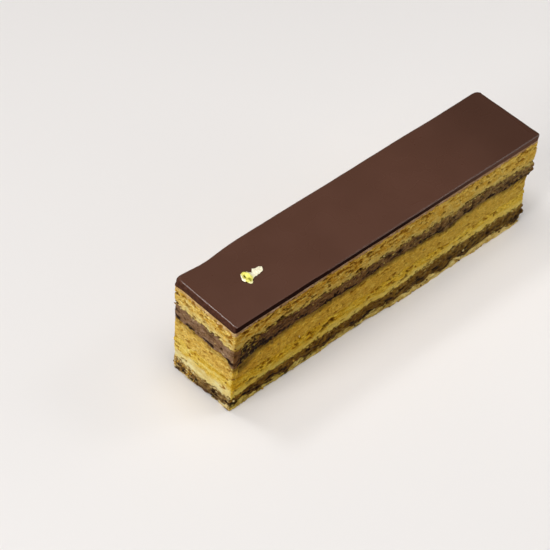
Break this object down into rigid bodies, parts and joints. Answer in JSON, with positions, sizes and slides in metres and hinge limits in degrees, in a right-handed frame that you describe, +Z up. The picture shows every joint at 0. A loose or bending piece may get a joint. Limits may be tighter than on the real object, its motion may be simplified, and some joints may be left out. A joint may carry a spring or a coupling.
{
  "type": "opera cake",
  "caption": "Finger-shaped slice of opera cake: thin almond sponge, coffee buttercream and dark ganache layers under a flat poured chocolate glaze with a flake of gold leaf.",
  "frame": {"origin": "middle of the flat bottom", "axes": "+X along the length towards the far end, +Y across towards the back long face, +Z up"},
  "size_m": [0.104, 0.0216, 0.0332],
  "materials": {
    "sponge": "matt, open crumb",
    "buttercream": "soft satin",
    "ganache": "soft satin",
    "glaze": "smooth satin gloss",
    "gold": "crumpled foil"
  },
  "bodies": {
    "root": {"sponge_base": "sponge", "ganache_lower": "ganache", "sponge_middle": "sponge", "buttercream_lower": "buttercream", "ganache_upper": "ganache", "sponge_top": "sponge", "buttercream_top": "buttercream", "glaze": "glaze", "gold_leaf": "gold"}
  },
  "joints": []
}
